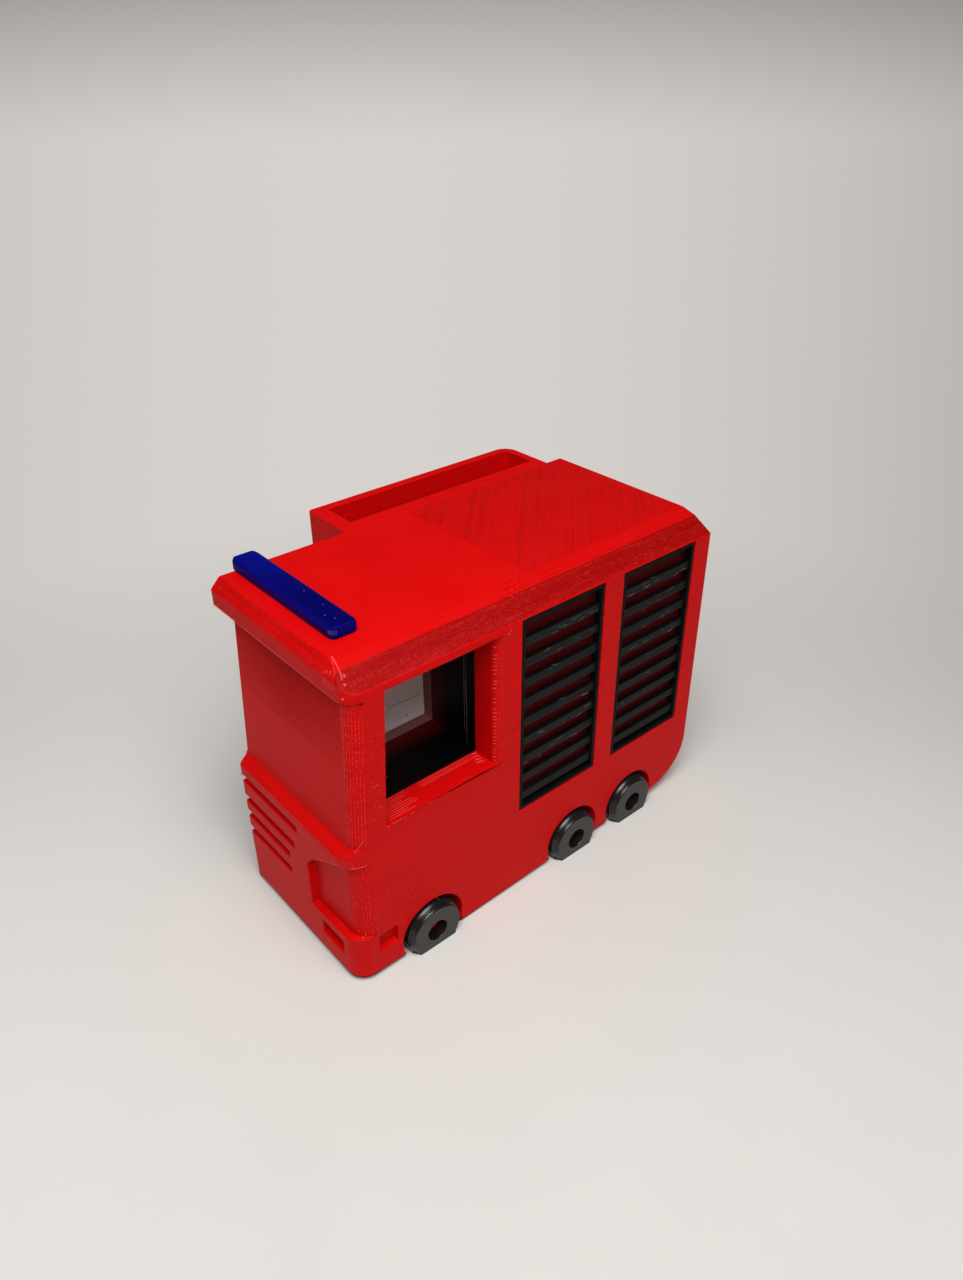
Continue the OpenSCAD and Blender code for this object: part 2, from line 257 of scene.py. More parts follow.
def bead_shape(tree, sides):
    """Rod from the origin along X, one unit long and one in radius."""
    rod = add_node(tree, "GeometryNodeMeshCylinder", Vertices=sides, Radius=1.0, Depth=1.0)
    return add_node(tree, "GeometryNodeTransform", Geometry=rod.outputs[0],
                    Translation=(0.5, 0, 0), Rotation=(0, math.pi / 2, 0)).outputs[0]


def slanted_lines(mat):
    """Lines at 45 degrees that fill a rectangle, as the last layer of a roof is drawn."""
    tree, given, m, vector, close = new_growth("slanted_lines", (
        "Start X", "Start Y", "Level", "Width", "Depth", "Pitch", "Bead", "Rise"))
    slant = m("MULTIPLY", given["Pitch"], math.sqrt(2))
    count = m("DIVIDE", m("ADD", given["Width"], given["Depth"]), slant)
    row = add_node(tree, "GeometryNodeMeshLine", Count=count).outputs[0]
    index = tree.nodes.new("GeometryNodeInputIndex").outputs[0]
    reach = m("SUBTRACT", m("MULTIPLY", m("ADD", index, 0.5), slant), given["Depth"])
    start = m("MAXIMUM", reach, 0.0)
    end = m("MINIMUM", m("ADD", reach, given["Depth"]), given["Width"])
    place = vector(m("ADD", start, given["Start X"]),
                   m("ADD", m("SUBTRACT", start, reach), given["Start Y"]), given["Level"])
    points = add_node(tree, "GeometryNodeSetPosition", Geometry=row, Position=place).outputs[0]
    length = m("MULTIPLY", m("SUBTRACT", end, start), math.sqrt(2))
    close(points, bead_shape(tree, 6), vector(length, given["Bead"], given["Rise"]),
          (0, 0, math.pi / 4), mat)
    return tree


def bead_rows(mat):
    """Rows of straight beads along X, each row a few lines, with uneven ends."""
    tree, given, m, vector, close = new_growth("bead_rows", (
        "Rows", "Lines", "Start X", "Start Y", "Start Z", "Row Step", "Line Step Y",
        "Line Step Z", "Length", "Uneven", "Half Y", "Half Z", "Seed"))
    count = m("MULTIPLY", given["Rows"], given["Lines"])
    row = add_node(tree, "GeometryNodeMeshLine", Count=count).outputs[0]
    index = tree.nodes.new("GeometryNodeInputIndex").outputs[0]
    line = m("MODULO", index, given["Lines"])
    step = m("FLOOR", m("DIVIDE", index, given["Lines"]))
    chance = add_node(tree, "FunctionNodeRandomValue", ID=index, Seed=given["Seed"]).outputs[1]
    loss = m("MULTIPLY", m("MULTIPLY", chance, given["Uneven"]), given["Length"])
    rise = m("ADD", given["Start Z"], m("MULTIPLY", step, given["Row Step"]))
    place = vector(m("ADD", given["Start X"], m("MULTIPLY", loss, 0.4)),
                   m("ADD", given["Start Y"], m("MULTIPLY", line, given["Line Step Y"])),
                   m("ADD", rise, m("MULTIPLY", line, given["Line Step Z"])))
    points = add_node(tree, "GeometryNodeSetPosition", Geometry=row, Position=place).outputs[0]
    size = vector(m("SUBTRACT", given["Length"], loss), given["Half Y"], given["Half Z"])
    close(points, bead_shape(tree, 8), size, (0.0, 0.0, 0.0), mat)
    return tree


def corner_specks(mat):
    """Small blobs in columns round an upright corner, one every few layers, some left out."""
    tree, given, m, vector, close = new_growth("corner_specks", (
        "Columns", "Rows", "Radius", "Centre X", "Centre Y", "Base Z", "Step Z", "Lean",
        "First Angle", "Angle Step", "Speck", "Keep", "Seed"))
    count = m("MULTIPLY", given["Columns"], given["Rows"])
    row = add_node(tree, "GeometryNodeMeshLine", Count=count).outputs[0]
    index = tree.nodes.new("GeometryNodeInputIndex").outputs[0]
    column = m("MODULO", index, given["Columns"])
    angle = m("ADD", given["First Angle"], m("MULTIPLY", column, given["Angle Step"]))
    rise = m("MULTIPLY", m("FLOOR", m("DIVIDE", index, given["Columns"])), given["Step Z"])
    x = m("ADD", given["Centre X"], m("MULTIPLY", given["Radius"], m("COSINE", angle)))
    y = m("ADD", given["Centre Y"], m("MULTIPLY", given["Radius"], m("SINE", angle)))
    place = vector(m("SUBTRACT", x, m("MULTIPLY", rise, given["Lean"])), y,
                   m("ADD", given["Base Z"], rise))
    points = add_node(tree, "GeometryNodeSetPosition", Geometry=row, Position=place).outputs[0]
    drop = add_node(tree, "FunctionNodeRandomValue", ID=index, Seed=given["Seed"]).outputs[1]
    lost = add_node(tree, "FunctionNodeCompare", {"operation": "GREATER_THAN"},
                    _0=drop, _1=given["Keep"]).outputs[0]
    kept = add_node(tree, "GeometryNodeDeleteGeometry", Geometry=points,
                    Selection=lost).outputs[0]
    smallest, largest = 0.5, 1.15
    swell = add_node(tree, "FunctionNodeRandomValue", _2=smallest, _3=largest, ID=index,
                     Seed=m("ADD", given["Seed"], 1.0)).outputs[1]
    size = m("MULTIPLY", swell, given["Speck"])
    blob = add_node(tree, "GeometryNodeMeshIcoSphere", Radius=1.0, Subdivisions=1).outputs[0]
    close(kept, blob, vector(size, size, m("MULTIPLY", size, 0.8)), (0.0, 0.0, 0.0), mat)
    return tree


def add_blob(form, place, size, index):
    """Flattened drop of plastic, half sunk in the wall."""
    made = bmesh.ops.create_icosphere(
        form, subdivisions=2, radius=1.0,
        matrix=Matrix.LocRotScale(Vector(place) * MM, None, Vector(size) * MM))
    for face in {f for v in made["verts"] for f in v.link_faces}:
        face.material_index = index


def add_thread(form, path, radius, index, sides=6):
    """Thin thread of plastic along a path of points in millimetres, thinner at its ends."""
    points = [Vector(p) * MM for p in path]
    last = len(points) - 1
    rings = []
    for i, point in enumerate(points):
        along = (points[min(i + 1, last)] - points[max(i - 1, 0)]).normalized()
        side = along.orthogonal().normalized()
        other = along.cross(side)
        thick = radius * MM * (0.6 if i in (0, last) else 1.0)
        rings.append([form.verts.new(point + (side * math.cos(a) + other * math.sin(a)) * thick)
                      for a in (2 * math.pi * k / sides for k in range(sides))])
    faces = [form.faces.new((low[k], low[(k + 1) % sides], high[(k + 1) % sides], high[k]))
             for low, high in zip(rings, rings[1:]) for k in range(sides)]
    faces += [form.faces.new(rings[0][::-1]), form.faces.new(rings[-1])]
    for face in faces:
        face.material_index = index


RED = print_finish("red_print", dark=(0.53, 0.001, 0.001), light=(0.64, 0.002, 0.002),
                   rough=(0.42, 0.58), specular=0.3, ior=1.22, depth=0.02 * MM)
RED_DROP = print_finish("red_drop", dark=(0.60, 0.006, 0.006), light=(0.70, 0.014, 0.012),
                        rough=(0.3, 0.45), specular=0.3, ior=1.3, depth=0.004 * MM)
# This dark red is painted shade, for the lines under the visor.
RED_SHADE_LINE = print_finish("red_shade_lines", dark=(0.20, 0.0006, 0.0006), light=(0.27, 0.001, 0.001),
                        rough=(0.5, 0.65), specular=0.2, ior=1.2, depth=0.004 * MM)
# This pale pink is a painted highlight on the threads, drops and specks that carry it.
RED_SHINE = print_finish("red_shine", dark=(0.66, 0.04, 0.036), light=(0.78, 0.09, 0.08),
                         rough=(0.4, 0.55), specular=0.2, ior=1.3, depth=0.004 * MM)
BODY_FINISHES = [RED, RED_DROP, RED_SHINE, RED_SHADE_LINE]
PLAIN, DROP, SHINE, SHADE_LINE = range(4)
ROOF_Z, LEFT_Y = 60.0, 24.95
RED_EDGE, BODY_FOOT = 0.16 * MM, 0.85 * MM
body_form = soft_copy("body", RED_EDGE, foot=BODY_FOOT)

# Painted shade darkens the roof's left edge, the visor, the locker recesses and the lower rim,
# by different amounts.
EDGE_SHADE, VISOR_SHADE, RECESS_SHADE, RIM_SHADE = 0.53, 0.17, 0.965, 0.75
painted_shade = body_form.faces.layers.float.new("painted_shade")
for face in body_form.faces:
    n, c = face.normal, face.calc_center_median() / MM
    if 0.3 < n.y < 0.7 and 0.6 < n.z < 0.93 and c.z > 57:
        face[painted_shade] = EDGE_SHADE
    elif 0.5 < n.x < 0.8 and n.z > 0.5 and c.z > 58:
        face[painted_shade] = VISOR_SHADE
    elif n.y > 0.9 and 22 < c.y < 24 and c.x < 6 and 17 < c.z < 57:
        face[painted_shade] = RECESS_SHADE
    elif -0.95 < n.z < -0.1 and c.z < 1.4:
        face[painted_shade] = RIM_SHADE

# Lines at 45 degrees fill the rear roof, each with its own random amount of painted shade and pale
# painted glints.
FILL_X, FILL_Y, FILL_W, FILL_D, FILL_PITCH, FILL_LINES = -40.4, -13.4, 38.8, 31.2, 0.39, 140
fill_faces = grow(slanted_lines(RED), {
    "Start X": FILL_X * MM, "Start Y": FILL_Y * MM, "Level": (ROOF_Z + 0.005) * MM,
    "Width": FILL_W * MM, "Depth": FILL_D * MM, "Pitch": FILL_PITCH * MM,
    "Bead": 0.15 * MM, "Rise": 0.12 * MM}, body_form, PLAIN)
fill_dice = random.Random(7)
fill_shades = [0.04 + 0.25 * fill_dice.random() ** 2 for k in range(FILL_LINES)]
for face in fill_faces:
    c = face.calc_center_median() / MM
    line = (c.x - FILL_X) - (c.y - FILL_Y) + FILL_D
    face[painted_shade] = fill_shades[int(line / (FILL_PITCH * math.sqrt(2)))]

# On the roof's sloped left edge the layers lie like narrow stairs, their beads darkened by painted
# shade.
BEADS = bead_rows(RED)
STAIR_SHADE, SHOULDER_SHADE = 0.45, 0.2
stair_base = {"Rows": 1, "Row Step": 0, "Start X": -40.5 * MM, "Length": 47 * MM,
              "Uneven": 0.02, "Seed": 3}
grow(BEADS, {**stair_base, "Lines": 8, "Start Y": 21.15 * MM, "Start Z": 59.15 * MM,
             "Line Step Y": 0.51 * MM, "Line Step Z": -0.29 * MM, "Half Y": 0.11 * MM,
             "Half Z": 0.05 * MM}, body_form, PLAIN, STAIR_SHADE)
grow(BEADS, {**stair_base, "Lines": 3, "Start Y": 18.5 * MM, "Start Z": 59.88 * MM,
             "Line Step Y": 0.95 * MM, "Line Step Z": -0.25 * MM, "Half Y": 0.14 * MM,
             "Half Z": 0.04 * MM}, body_form, PLAIN, SHOULDER_SHADE)

# Specks sit where layers start, on the upright corners of cab, nose, hood and window.
SPECKS = corner_specks(RED_DROP)
SHIELD_LEAN = math.tan(math.radians(3.4))
JAMB_X, JAMB_Y = 9.45, 23.45
speck_base = {"Lean": 0, "Seed": 5, "Keep": 0.8, "Speck": 0.07 * MM, "Step Z": 0.37 * MM}
grow(SPECKS, {**speck_base, "Columns": 7, "Rows": 70, "Radius": 2.51 * MM,
              "Centre X": 36.6 * MM, "Centre Y": 22.45 * MM, "Base Z": 29.6 * MM,
              "Lean": SHIELD_LEAN, "First Angle": 0.12, "Angle Step": 0.2}, body_form, SHINE)
grow(SPECKS, {**speck_base, "Columns": 6, "Rows": 42, "Radius": 3.42 * MM,
              "Centre X": 36.05 * MM, "Centre Y": 21.57 * MM, "Base Z": 10.2 * MM,
              "First Angle": 0.35, "Angle Step": 0.16, "Keep": 0.5}, body_form, SHINE)
grow(SPECKS, {**speck_base, "Columns": 6, "Rows": 5, "Radius": 3.41 * MM,
              "Centre X": 37.45 * MM, "Centre Y": 21.55 * MM, "Base Z": 26.0 * MM,
              "Step Z": 0.33 * MM, "First Angle": 0.5, "Angle Step": 0.14}, body_form, SHINE)
grow(SPECKS, {**speck_base, "Columns": 2, "Rows": 66, "Radius": 1.5 * MM,
              "Centre X": JAMB_X * MM, "Centre Y": JAMB_Y * MM, "Base Z": 31.4 * MM,
              "First Angle": 1.12, "Angle Step": 0.32, "Keep": 0.85, "Speck": 0.06 * MM},
     body_form, SHINE)

# Short threads run round the left window's rear jamb, lines and drops lie on its sill.
JAMB_R, JAMB_LEVELS, JAMB_BASE, JAMB_STEP = 1.51, 34, 31.7, 0.69
SILL_Z = 31.11
dice = random.Random(11)
for level in range(JAMB_LEVELS):
    z = JAMB_BASE + JAMB_STEP * level + dice.uniform(-0.05, 0.05)
    if dice.random() < (0.55 if 39 < z < 46 else 0.95):
        start, end = dice.uniform(0.34, 0.42), dice.uniform(0.72, 0.86)
        arc = [(JAMB_X + JAMB_R * math.cos(a), JAMB_Y + JAMB_R * math.sin(a), z)
               for a in (start + (end - start) * k / 4 for k in range(5))]
        add_thread(body_form, arc, 0.07, SHINE, 4)
for k in range(9):
    y = 20.0 + 0.5 * k + dice.uniform(-0.05, 0.05)
    ends = (32.3 - 0.3 * dice.random(), 29, 25.5 + 2.5 * dice.random())
    add_thread(body_form, [(x, y, SILL_Z) for x in ends], 0.08, SHINE, 4)
    if k < 3:
        ends = (24.8 - 1.5 * dice.random(), 18, 12.4)
        add_thread(body_form, [(x, y + 0.04, SILL_Z) for x in ends], 0.08, SHINE, 4)
for k in range(4):
    y = 0.75 * k
    add_thread(body_form, [(12.3 + 0.25 * k, 20.1 + y, 31.12), (11.8 + 0.2 * k, 20.2 + y, 31.14),
                           (11.25 + 0.16 * k, 20.45 + y, 31.14)], 0.13, SHINE)
for k in range(44):
    add_blob(body_form, (dice.uniform(21, 33), LEFT_Y - 0.05, 31.05),
             (dice.uniform(0.06, 0.22), 0.07, 0.06), DROP + k % 2)

# Threads fan out over the visor's left corner and run along its lower edge.
FAN_Y, VISOR_X, VISOR_LOW = 19.02, 38.06, 55
for y in (FAN_Y, 19.54, 20.22, 21.0):
    low_z = 55.6 + (y - 18.5) * 0.5
    turn = (y - FAN_Y) * 0.3
    add_thread(body_form, [(35.78, 18.24, 60.0), (37.74 - turn, y, 58.56 + turn),
                           (VISOR_X, y + 0.3, 58.1), (VISOR_X, y + 0.5, low_z)], 0.06, SHINE, 4)
add_thread(body_form, [(35.7, 18.2, 60.0), (36.1, 19.9, 59.55), (36.48, 21.39, 59.05),
                       (36.9, 22.4, 58.5)], 0.12, SHINE)
SHIELD_X, SHIELD_Z = 39.12, 29.05
for level, reach in ((55.42, 22.3), (54.95, 22.0), (54.5, 22.0)):
    on_visor = level > VISOR_LOW
    out = VISOR_X if on_visor else SHIELD_X - (level - SHIELD_Z) * SHIELD_LEAN
    side = -13.8 if on_visor else -8.0
    add_thread(body_form, [(out, side, level), (out, 7.0, level), (out, reach, level)], 0.06,
               SHINE if on_visor else DROP, 4)

# Dark lines of painted shade from the visor lie between the layers of the windshield, narrower
# further below the visor.
GAP_X, GAP_TOP, GAP_STEP, GAP_HALF, GAP_LOSS = 39.09, 54.3, 0.42, 0.105, 0.0028
for k in range(27):
    z = GAP_TOP - GAP_STEP * k
    out = GAP_X - (z - SHIELD_Z) * SHIELD_LEAN
    add_thread(body_form, [(out, -7.6, z), (out, 7.0, z), (out, 22.2 - 0.1 * (k % 3), z)],
               GAP_HALF - GAP_LOSS * k, SHADE_LINE, 4)

# Drops hang at the visor's and the bumper's corner, by the window and along the bumper.
BUMPER_Z = 9.55
for place, size in (((36.3, 21.97, 58.72), (0.2, 0.3, 0.4)),
                    ((36.96, 23.0, 58.1), (0.25, 0.35, 0.35)),
                    ((37.8, 23.5, 56.4), (0.2, 0.2, 0.2)),
                    ((38.75, 23.95, 9.7), (0.2, 0.22, 0.3)),
                    ((38.4, 24.2, 10.4), (0.12, 0.12, 0.2)),
                    ((38.9, 23.6, 9.6), (0.3, 0.12, 0.1)),
                    ((8.4, 24.95, 55.6), (0.3, 0.06, 0.1)),
                    ((7.9, 24.95, 56.0), (0.16, 0.06, 0.16))):
    add_blob(body_form, place, size, SHINE)
for x, y in ((39.57, 17.4), (39.6, 18.5), (39.62, 19.5), (39.6, 20.6), (39.2, 22.3)):
    add_blob(body_form, (x, y, BUMPER_Z), (0.09, 0.09, 0.12), SHINE)

# Threads lie at the foot of the cab's corner and over the headlight, a loose end at a groove.
add_thread(body_form, [(39.2, 24.0, 28.7), (38.9, 24.3, 29.0), (38.5, 24.55, 29.5),
                       (38.0, 24.7, 30.2), (37.4, 24.85, 31.2)], 0.07, SHINE)
add_thread(body_form, [(40.87, 14.1, 21.35), (40.87, 16.9, 23.05), (40.87, 19.7, 24.75),
                       (40.85, 21.6, 25.65), (40.42, 23.27, 25.8), (39.86, 23.97, 25.85),
                       (39.15, 24.52, 25.9), (38.2, 24.88, 25.9), (37.3, 24.96, 25.9)],
           0.06, SHINE)
add_thread(body_form, [(40.3, -7.4, 24.9), (40.3, -8.0, 25.0), (40.3, -8.5, 24.75),
                       (40.3, -9.1, 24.2), (40.3, -9.5, 23.5)], 0.1, DROP)

# Loose specks follow the end of the roof's lines, the lower left side and the front pillar.
FLAT_END, SHOULDER_END = 18.15, 21
for k in range(30):
    y = dice.uniform(15.5, 24.6)
    fall = (0 if y < FLAT_END else (y - FLAT_END) * 0.263 if y < SHOULDER_END
            else 0.75 + (y - SHOULDER_END) * 0.57)
    add_blob(body_form, (0.3 + (y - 17.4) * 1.0 + dice.uniform(-0.9, 0.9), y, ROOF_Z - fall),
             (dice.uniform(0.04, 0.1), dice.uniform(0.04, 0.09), 0.07), DROP + k % 2)
for k in range(110):
    add_blob(body_form, (dice.uniform(20, 37), LEFT_Y, 30 - 22 * dice.random() ** 0.7),
             (dice.uniform(0.05, 0.1), 0.05, dice.uniform(0.05, 0.1)), DROP + k % 2)
for k in range(80):
    z = dice.uniform(34, 50)
    add_blob(body_form, (dice.uniform(33.0, 36.2) - (z - 31) * 0.06, LEFT_Y, z),
             (dice.uniform(0.05, 0.16), 0.04, dice.uniform(0.04, 0.07)),
             SHINE if k % 4 == 0 else DROP)
finish_piece("body_print", body_form, BODY_FINISHES, "truck", ["body"])

# Window inserts: two black sleeves, a dull red ring and a pale plate, pushed in from the right
# side up to the shoulder of the left window. The sleeves are dark inside, the plate is matte.
SLEEVE = print_finish("sleeve_print", dark=(0.0012, 0.001, 0.001), light=(0.003, 0.0025, 0.0025),
                      rough=(0.25, 0.4), specular=0.15, ior=1.3, depth=0.01 * MM)
RING = print_finish("ring_print", dark=(0.26, 0.10, 0.09), light=(0.32, 0.13, 0.12),
                    rough=(0.35, 0.5), specular=0.4, ior=1.4, depth=0.01 * MM)
PALE = print_finish("grey_plate", dark=(0.94, 0.90, 0.87), light=(0.98, 0.94, 0.91),
                    rough=(0.5, 0.6), specular=0.3, ior=1.4, depth=0.003 * MM)
PLATE_MARK = print_finish("plate_mark", dark=(0.16, 0.15, 0.14), light=(0.22, 0.2, 0.19),
                          rough=(0.5, 0.6), specular=0.3, ior=1.4, depth=0.003 * MM)
HAIR_AND_GLINT = print_finish("grey_hair_and_glint", dark=(0.10, 0.10, 0.095), light=(0.22, 0.22, 0.21),
                    rough=(0.3, 0.45), specular=0.5, ior=1.45, depth=0.002 * MM)
INSERT_EDGE = 0.1 * MM
MARK_AND_GLINT = 1


def paint_light_along_y(mat, start, end, colour):
    """Paints light on a finish: across the truck it goes over to another colour, as light from a
    neighbour would make it.
    """
    tree = mat.node_tree
    place = tree.nodes.new("ShaderNodeTexCoord").outputs["Object"]
    across = add_node(tree, "ShaderNodeSeparateXYZ", Vector=place).outputs["Y"]
    amount = spread(tree, across, start * MM, end * MM, kind="SMOOTHSTEP")
    skin = tree.nodes["Principled BSDF"].inputs["Base Color"]
    tree.links.new(mix_colours(tree, amount, skin.links[0].from_socket, (*colour, 1)), skin)


# Painted red light: the sleeves go over to a dim red between 13 and 7 mm across the truck, and
# stay red beyond.
paint_light_along_y(SLEEVE, 13.0, 7.0, (0.10, 0.003, 0.003))
SLEEVE_X = 10.96
liner_form = soft_copy("window_liner_left", INSERT_EDGE)
# Two pale threads down the left sleeve are painted highlights, glints on its dark inside.
for y, low_z, high_z in ((16.9, 34.0, 53.0), (17.45, 31.5, 49.0)):
    add_thread(liner_form, [(SLEEVE_X, y, low_z), (SLEEVE_X, y + 0.05, (low_z + high_z) / 2),
                            (SLEEVE_X, y, high_z)], 0.04, MARK_AND_GLINT, 4)
finish_piece("window_liner_left_print", liner_form, [SLEEVE, HAIR_AND_GLINT], "truck",
             ["window_liner_left"])
finish_piece("window_spacer_print", soft_copy("window_spacer", INSERT_EDGE), [RING], "truck",
             ["window_spacer"])
finish_piece("window_liner_right_print", soft_copy("window_liner_right", INSERT_EDGE), [SLEEVE],
             "truck", ["window_liner_right"])
PLATE_Y = 5.56
plate_form = soft_copy("window_plate", INSERT_EDGE)
add_thread(plate_form, [(18.6, PLATE_Y, 35.95), (16.0, PLATE_Y, 35.8), (13.4, PLATE_Y, 35.55),
                        (11.6, PLATE_Y, 35.8)], 0.05, MARK_AND_GLINT)
add_blob(plate_form, (14.7, 5.55, 32.5), (0.16, 0.06, 0.16), MARK_AND_GLINT)
finish_piece("window_plate_print", plate_form, [PALE, PLATE_MARK], "truck",
             ["window_plate"])

# Louvre panels: black prints that drop into the two locker recesses. Each slat is four drawn
# lines high, and fine hairs of filament are left on and between the slats.
BLACK = print_finish("black_print", dark=(0.004, 0.004, 0.004), light=(0.012, 0.0115, 0.011),
                     rough=(0.35, 0.5), specular=0.3, ior=1.3, depth=0.02 * MM)
# This darker black is painted shade.
BLACK_SHADE = print_finish("black_in_shade", dark=(0.002, 0.002, 0.002), light=(0.005, 0.005, 0.005),
                           rough=(0.4, 0.55), specular=0.15, ior=1.3, depth=0.01 * MM)
SLAT, STRAY_HAIR, SHADED_FACES = range(3)
SLATS, SLAT_PITCH, SURROUND_W = 9, 3.9625, 0.75
SLAT_LINES = bead_rows(BLACK)
for node in ("louvre_front", "louvre_rear"):
    low, high = (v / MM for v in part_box(node))
    louvre_form = soft_copy(node, 0.12 * MM)
    # The rim and every face that does not face out, the slats' tops among them, take the darker
    # black of painted shade.
    for face in louvre_form.faces:
        c = face.calc_center_median() / MM
        if (c.z > high.z - 1 or c.z < low.z + SURROUND_W or c.x < low.x + SURROUND_W
                or c.x > high.x - SURROUND_W or face.normal.y < 0.7):
            face.material_index = SHADED_FACES
    grow(SLAT_LINES, {
        "Rows": SLATS, "Lines": 4, "Start X": (low.x + 0.5) * MM, "Start Y": (low.y + 0.99) * MM,
        "Start Z": (low.z + 1.9) * MM, "Row Step": SLAT_PITCH * MM, "Line Step Y": 0,
        "Line Step Z": 0.4 * MM, "Length": (high.x - low.x - 1.0) * MM, "Uneven": 0.02,
        "Half Y": 0.08 * MM, "Half Z": 0.19 * MM, "Seed": 2}, louvre_form, SLAT)
    for k in range(30):
        slat = dice.choice((8, 8, 8, 7, 7, 6, 5, 4, 3, 2))
        x = dice.uniform(low.x + 1, high.x - 2)
        z = low.z + 1.7 + SLAT_PITCH * slat + dice.uniform(-0.2, 1.8)
        bend = dice.uniform(-0.5, 0.5)
        span = dice.uniform(0.4, 1.8)
        add_thread(louvre_form, [
            (x + span * t, low.y + 1.06 + 0.12 * math.sin(3 * t), z + bend * t * t)
            for t in (0, 0.35, 0.7, 1)], 0.022, STRAY_HAIR, 4)
    finish_piece(node + "_print", louvre_form, [BLACK, HAIR_AND_GLINT, BLACK_SHADE], "truck",
                 [node])

# Side pocket: red open-topped print that hangs on two pegs on the right wall.
# Its underside slopes in at 45 degrees so that it needs no support.
finish_piece("side_pocket_print", soft_copy("side_pocket", RED_EDGE), [RED], "truck",
             ["side_pocket"])

# Light bar: dark blue print on the cab roof, held by two pegs. Its thin sides let light through;
# their brighter blue is painted light. It shows a little back, right and low of its solid.
BLUE = print_finish("blue_print", dark=(0.0008, 0.0008, 0.07), light=(0.0012, 0.001, 0.095),
                    rough=(0.4, 0.55), specular=0.2, ior=1.2, depth=0.015 * MM)
BLUE_LIT_SIDE = print_finish("blue_painted_light", dark=(0.0015, 0.0015, 0.11), light=(0.003, 0.002, 0.17),
                         rough=(0.4, 0.55), specular=0.2, ior=1.2, depth=0.02 * MM)
BLUE_SPECK = print_finish("blue_speck", dark=(0.05, 0.05, 0.27), light=(0.13, 0.13, 0.38),
                          rough=(0.35, 0.5), specular=0.3, ior=1.3, depth=0.002 * MM)
# Painted light: the top's blue grows lighter towards the truck's right side.
paint_light_along_y(BLUE, 6.0, -15.0, (0.0015, 0.003, 0.17))
BAR_SIDE, BAR_SPECK = 1, 2
BAR_CORNER, SOFT_CORNER = 0.8, 1.15
BAR_BACK, BAR_STRETCH, BAR_RIGHT, BAR_LOWER = 0.5, 1.017, 0.7, 0.2
BAR_TOP = 62.08


def round_off(x, y, low, high):
    """Draws a point near a corner of the bar's outline in, so that the corner becomes an arc."""
    side_x = 1 if x > (low.x + high.x) / 2 else -1
    side_y = 1 if y > (low.y + high.y) / 2 else -1
    end_x, end_y = (high.x if side_x > 0 else low.x), (high.y if side_y > 0 else low.y)
    in_x, in_y = abs(end_x - x), abs(end_y - y)
    if in_x >= SOFT_CORNER or in_y >= SOFT_CORNER:
        return x, y
    inset = min(in_x, in_y)
    if in_x < BAR_CORNER and in_y < BAR_CORNER:
        inset = BAR_CORNER - math.hypot(BAR_CORNER - in_x, BAR_CORNER - in_y)
    reach = math.hypot(SOFT_CORNER - in_x, SOFT_CORNER - in_y)
    keep = min(1.0, (SOFT_CORNER - inset) / max(reach, 1e-6))
    return (end_x - side_x * (SOFT_CORNER - (SOFT_CORNER - in_x) * keep),
            end_y - side_y * (SOFT_CORNER - (SOFT_CORNER - in_y) * keep))


low, high = (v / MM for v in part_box("light_bar"))
bar_form = soft_copy("light_bar", 0.35 * MM, 3)
for axis in (0, 1):
    for cut in (low[axis] + SOFT_CORNER, high[axis] - SOFT_CORNER):
        normal = Vector((axis == 0, axis == 1, 0))
        bmesh.ops.bisect_plane(bar_form, geom=[*bar_form.verts, *bar_form.edges, *bar_form.faces],
                               plane_co=normal * cut * MM, plane_no=normal)
for v in bar_form.verts:
    x, y, z = v.co / MM
    if z > ROOF_Z - 0.1:
        x, y = round_off(x, y, low, high)
        v.co = Vector((x - BAR_BACK, y * BAR_STRETCH - BAR_RIGHT,
                       z - (z - ROOF_Z) * BAR_LOWER)) * MM
for face in bar_form.faces:
    if face.normal.z < 0.9:
        face.material_index = BAR_SIDE
for x, y in ((30.55, 8.3), (30.4, 2.8), (32.1, 11.2), (31.4, 12.8)):
    add_blob(bar_form, (x, y, BAR_TOP), (0.11, 0.11, 0.05), BAR_SPECK)
for k in range(6):
    a = 0.2 + 0.22 * k
    x, y = 32.45 + 1.16 * math.cos(a), 13.95 + 1.16 * math.sin(a)
    add_thread(bar_form, [(x, y, 60.7 + 0.15 * (k % 2)), (x, y, 61.2 + 0.1 * (k % 3)),
                          (x, y, 61.6)], 0.045, BAR_SPECK)
finish_piece("light_bar_print", bar_form, [BLUE, BLUE_LIT_SIDE, BLUE_SPECK], "truck",
             ["light_bar"])

# Axles: red printed pins that turn in the body and are pressed into the wheels.
# Their ends sit two millimetres deep in the hubs.
for place in ("front", "middle", "rear"):
    finish_piece("axle_" + place + "_print", soft_copy("axle_" + place, 0.2 * MM), [RED],
                 place + "_axle", ["axle_" + place])

# Wheels: black prints with a flat foot, pressed on the axles. The face is matte, the stepped
# shoulder glossy, and the first layers spread a little where the foot stood on the print bed.
FACE_BLACK = print_finish("wheel_face", dark=(0.048, 0.050, 0.047), light=(0.070, 0.072, 0.068),
                          rough=(0.55, 0.75), specular=0.3, ior=1.4, depth=0.006 * MM)
TREAD_BLACK = print_finish("wheel_tread", dark=(0.006, 0.006, 0.006), light=(0.012, 0.012, 0.012),
                           rough=(0.2, 0.32), specular=0.5, ior=1.45, depth=0.004 * MM)
OUTER_FACE, TREAD = range(2)
WHEEL_OUTLINE = ((1.98, 0.0), (5.3, 0.0), (5.5, 0.2), (5.5, 4.15), (5.44, 4.3), (5.2, 4.62),
                 (5.2, 4.72), (4.98, 5.0), (4.98, 5.12), (4.86, 5.38), (4.74, 5.48), (4.6, 5.5),
                 (2.2, 5.5), (2.05, 5.44), (1.98, 5.3))
WHEEL_SIDES, FACE_FROM = 72, 5.4
